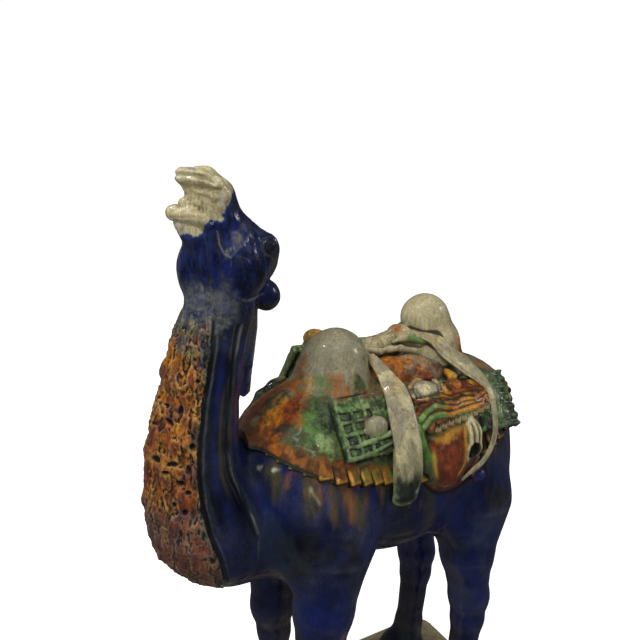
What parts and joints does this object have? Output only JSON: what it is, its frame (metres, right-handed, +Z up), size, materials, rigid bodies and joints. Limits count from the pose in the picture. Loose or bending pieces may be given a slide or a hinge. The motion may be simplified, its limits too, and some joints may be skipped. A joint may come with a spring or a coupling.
{
  "type": "camel figure",
  "caption": "Standing two-humped camel figure in glazed earthenware, head raised and mouth open, with a loaded pack saddle and mask-faced saddlebags, on a low rectangular base.",
  "frame": {"origin": "centre of the base's underside, midway between the front feet and the hind feet", "axes": "+Z up; the camel faces -X and its left side, the one the picture shows, is -Y"},
  "size_m": [0.4556, 0.2216, 0.7033],
  "materials": {
    "three_colour_glaze": "glossy crackled lead glaze: deep blue hide, amber and green blanket and load, cream humps, straps and muzzle"
  },
  "bodies": {
    "root": {"camel_figure": "three_colour_glaze"}
  },
  "joints": []
}
